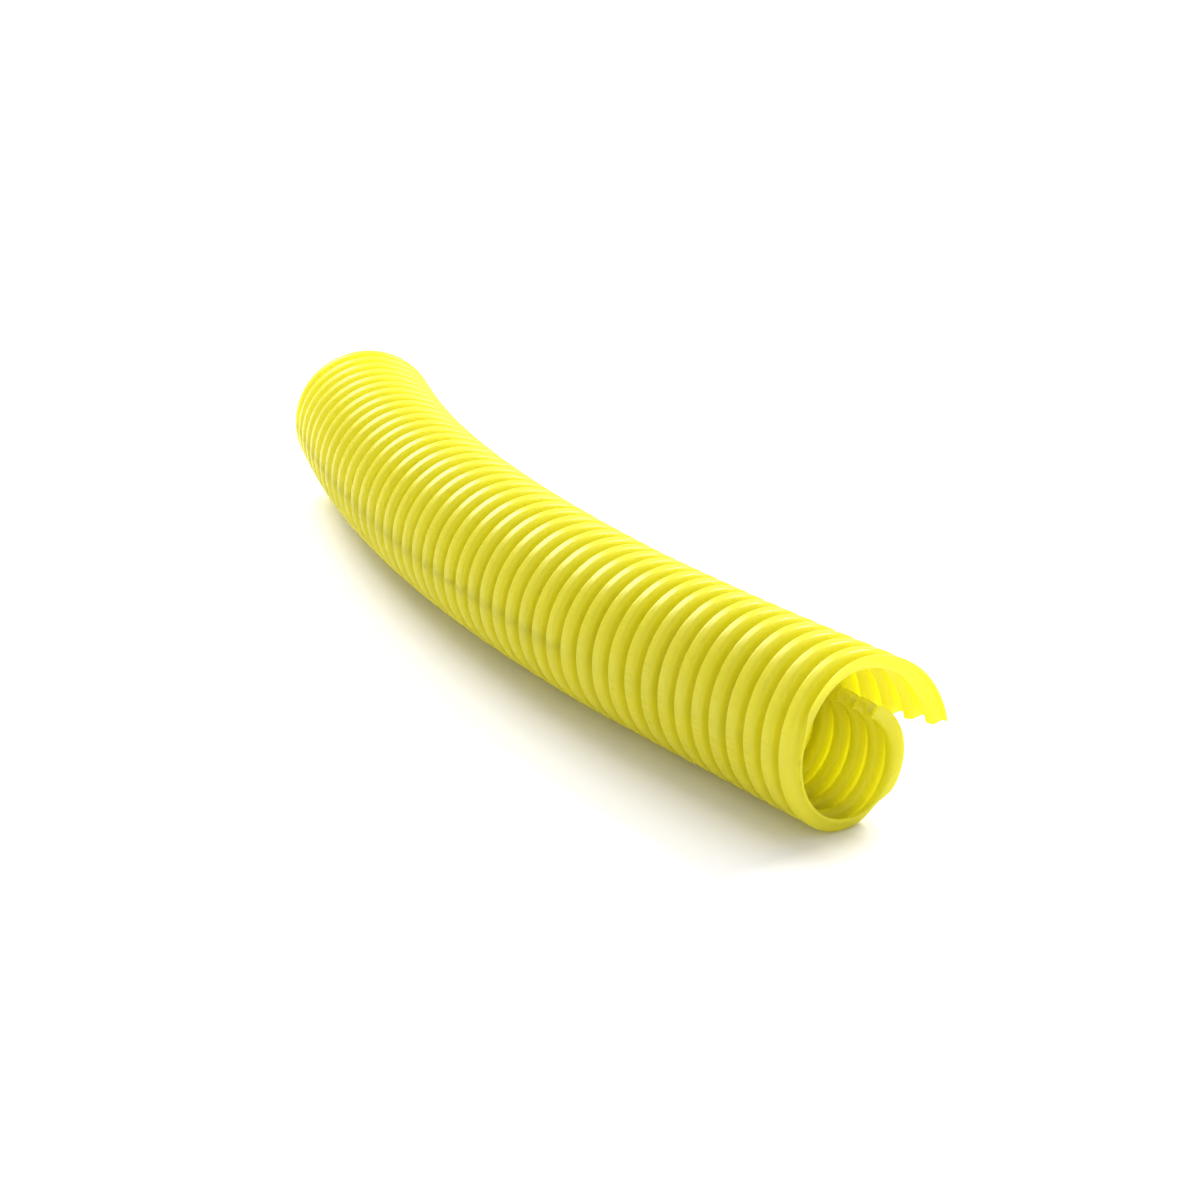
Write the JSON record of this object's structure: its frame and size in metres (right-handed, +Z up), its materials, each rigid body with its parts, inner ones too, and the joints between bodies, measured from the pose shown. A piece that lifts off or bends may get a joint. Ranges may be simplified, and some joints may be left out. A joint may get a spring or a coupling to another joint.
{
  "type": "slit corrugated sleeve",
  "caption": "Flexible corrugated plastic sleeve, slit along one side so a cable or hose presses in; it bends at its grooves and its slit opens.",
  "frame": {"origin": "centre of the sleeve's plain end, on its axis", "axes": "+Y out of the plain end along its axis, +X towards the slit side, +Z up; the sleeve lies along -Y and bends"},
  "size_m": [0.0744, 0.1799, 0.0286],
  "materials": {
    "sleeve_plastic": "translucent yellow plastic with a soft gloss"
  },
  "bodies": {
    "lower_shell_01": {"lower_shell_01": "sleeve_plastic"},
    "lower_shell_02": {"lower_shell_02": "sleeve_plastic"},
    "lower_shell_03": {"lower_shell_03": "sleeve_plastic"},
    "lower_shell_04": {"lower_shell_04": "sleeve_plastic"},
    "lower_shell_05": {"lower_shell_05": "sleeve_plastic"},
    "lower_shell_06": {"lower_shell_06": "sleeve_plastic"},
    "lower_shell_07": {"lower_shell_07": "sleeve_plastic"},
    "lower_shell_08": {"lower_shell_08": "sleeve_plastic"},
    "lower_shell_09": {"lower_shell_09": "sleeve_plastic"},
    "lower_shell_10": {"lower_shell_10": "sleeve_plastic"},
    "lower_shell_11": {"lower_shell_11": "sleeve_plastic"},
    "upper_lip_01": {"upper_lip_01": "sleeve_plastic"},
    "upper_lip_02": {"upper_lip_02": "sleeve_plastic"},
    "upper_lip_03": {"upper_lip_03": "sleeve_plastic"},
    "upper_lip_04": {"upper_lip_04": "sleeve_plastic"},
    "upper_lip_05": {"upper_lip_05": "sleeve_plastic"},
    "upper_lip_06": {"upper_lip_06": "sleeve_plastic"},
    "upper_lip_07": {"upper_lip_07": "sleeve_plastic"},
    "upper_lip_08": {"upper_lip_08": "sleeve_plastic"},
    "upper_lip_09": {"upper_lip_09": "sleeve_plastic"},
    "upper_lip_10": {"upper_lip_10": "sleeve_plastic"},
    "upper_lip_11": {"upper_lip_11": "sleeve_plastic"}
  },
  "joints": [
    {"name": "bend_01", "type": "hinge", "parent": "lower_shell_02", "child": "lower_shell_01", "pos_m": [0.03792, -0.15976, 0], "axis": [0, 0, 1], "range_deg": [-2.4, 2.4], "stiffness_Nm_per_rad": 0.0004},
    {"name": "bend_02", "type": "hinge", "parent": "lower_shell_03", "child": "lower_shell_02", "pos_m": [0.03158, -0.14446, 0], "axis": [0, 0, 1], "range_deg": [-2.4, 2.4], "stiffness_Nm_per_rad": 0.0004},
    {"name": "bend_03", "type": "hinge", "parent": "lower_shell_04", "child": "lower_shell_03", "pos_m": [0.02546, -0.12907, 0], "axis": [0, 0, 1], "range_deg": [-2.4, 2.4], "stiffness_Nm_per_rad": 0.0004},
    {"name": "bend_04", "type": "hinge", "parent": "lower_shell_05", "child": "lower_shell_04", "pos_m": [0.01971, -0.11354, 0], "axis": [0, 0, 1], "range_deg": [-2.4, 2.4], "stiffness_Nm_per_rad": 0.0004},
    {"name": "bend_05", "type": "hinge", "parent": "lower_shell_06", "child": "lower_shell_05", "pos_m": [0.01447, -0.09783, 0], "axis": [0, 0, 1], "range_deg": [-2.4, 2.4], "stiffness_Nm_per_rad": 0.0004},
    {"name": "bend_06", "type": "hinge", "parent": "lower_shell_07", "child": "lower_shell_06", "pos_m": [0.00988, -0.08192, 0], "axis": [0, 0, 1], "range_deg": [-2.4, 2.4], "stiffness_Nm_per_rad": 0.0004},
    {"name": "bend_07", "type": "hinge", "parent": "lower_shell_08", "child": "lower_shell_07", "pos_m": [0.00604, -0.06581, 0], "axis": [0, 0, 1], "range_deg": [-2.4, 2.4], "stiffness_Nm_per_rad": 0.0004},
    {"name": "bend_08", "type": "hinge", "parent": "lower_shell_09", "child": "lower_shell_08", "pos_m": [0.00306, -0.04952, 0], "axis": [0, 0, 1], "range_deg": [-2.4, 2.4], "stiffness_Nm_per_rad": 0.0004},
    {"name": "bend_09", "type": "hinge", "parent": "lower_shell_10", "child": "lower_shell_09", "pos_m": [0.00103, -0.03309, 0], "axis": [0, 0, 1], "range_deg": [-2.4, 2.4], "stiffness_Nm_per_rad": 0.0004},
    {"name": "bend_10", "type": "hinge", "parent": "lower_shell_11", "child": "lower_shell_10", "pos_m": [0, -0.01656, 0], "axis": [0, 0, 1], "range_deg": [-2.4, 2.4], "stiffness_Nm_per_rad": 0.0004},
    {"name": "slit_01", "type": "hinge", "parent": "lower_shell_01", "child": "upper_lip_01", "pos_m": [0.0312, -0.18054, 0], "axis": [0.3875, -0.9219, 0], "range_deg": [0, 30], "stiffness_Nm_per_rad": 0.0005},
    {"name": "slit_02", "type": "hinge", "parent": "lower_shell_02", "child": "upper_lip_02", "pos_m": [0.02476, -0.16521, 0], "axis": [0.383, -0.9238, 0], "range_deg": [0, 30], "stiffness_Nm_per_rad": 0.0005},
    {"name": "slit_03", "type": "hinge", "parent": "lower_shell_03", "child": "upper_lip_03", "pos_m": [0.01834, -0.14972, 0], "axis": [0.3695, -0.9292, 0], "range_deg": [0, 30], "stiffness_Nm_per_rad": 0.0005},
    {"name": "slit_04", "type": "hinge", "parent": "lower_shell_04", "child": "upper_lip_04", "pos_m": [0.0121, -0.13402, 0], "axis": [0.3472, -0.9378, 0], "range_deg": [0, 30], "stiffness_Nm_per_rad": 0.0005},
    {"name": "slit_05", "type": "hinge", "parent": "lower_shell_05", "child": "upper_lip_05", "pos_m": [0.0062, -0.11805, 0], "axis": [0.3164, -0.9486, 0], "range_deg": [0, 30], "stiffness_Nm_per_rad": 0.0005},
    {"name": "slit_06", "type": "hinge", "parent": "lower_shell_06", "child": "upper_lip_06", "pos_m": [0.00078, -0.10179, 0], "axis": [0.2777, -0.9607, 0], "range_deg": [0, 30], "stiffness_Nm_per_rad": 0.0005},
    {"name": "slit_07", "type": "hinge", "parent": "lower_shell_07", "child": "upper_lip_07", "pos_m": [-0.00399, -0.08523, 0], "axis": [0.2318, -0.9728, 0], "range_deg": [0, 30], "stiffness_Nm_per_rad": 0.0005},
    {"name": "slit_08", "type": "hinge", "parent": "lower_shell_08", "child": "upper_lip_08", "pos_m": [-0.00798, -0.06837, 0], "axis": [0.1797, -0.9837, 0], "range_deg": [0, 30], "stiffness_Nm_per_rad": 0.0005},
    {"name": "slit_09", "type": "hinge", "parent": "lower_shell_09", "child": "upper_lip_09", "pos_m": [-0.01108, -0.05127, 0], "axis": [0.1227, -0.9924, 0], "range_deg": [0, 30], "stiffness_Nm_per_rad": 0.0005},
    {"name": "slit_10", "type": "hinge", "parent": "lower_shell_10", "child": "upper_lip_10", "pos_m": [-0.01319, -0.03397, 0], "axis": [0.0622, -0.9981, 0], "range_deg": [0, 30], "stiffness_Nm_per_rad": 0.0005},
    {"name": "slit_11", "type": "hinge", "parent": "lower_shell_11", "child": "upper_lip_11", "pos_m": [-0.01425, -0.01656, 0], "axis": [0, -1, 0], "range_deg": [0, 30], "stiffness_Nm_per_rad": 0.0005}
  ],
  "couplings": [
    {"joint": "bend_01", "follows": "bend_10", "ratio": 1},
    {"joint": "bend_02", "follows": "bend_10", "ratio": 1},
    {"joint": "bend_03", "follows": "bend_10", "ratio": 1},
    {"joint": "bend_04", "follows": "bend_10", "ratio": 1},
    {"joint": "bend_05", "follows": "bend_10", "ratio": 1},
    {"joint": "bend_06", "follows": "bend_10", "ratio": 1},
    {"joint": "bend_07", "follows": "bend_10", "ratio": 1},
    {"joint": "bend_08", "follows": "bend_10", "ratio": 1},
    {"joint": "bend_09", "follows": "bend_10", "ratio": 1},
    {"joint": "slit_01", "follows": "slit_11", "ratio": 1},
    {"joint": "slit_02", "follows": "slit_11", "ratio": 1},
    {"joint": "slit_03", "follows": "slit_11", "ratio": 1},
    {"joint": "slit_04", "follows": "slit_11", "ratio": 1},
    {"joint": "slit_05", "follows": "slit_11", "ratio": 1},
    {"joint": "slit_06", "follows": "slit_11", "ratio": 1},
    {"joint": "slit_07", "follows": "slit_11", "ratio": 1},
    {"joint": "slit_08", "follows": "slit_11", "ratio": 1},
    {"joint": "slit_09", "follows": "slit_11", "ratio": 1},
    {"joint": "slit_10", "follows": "slit_11", "ratio": 1}
  ]
}
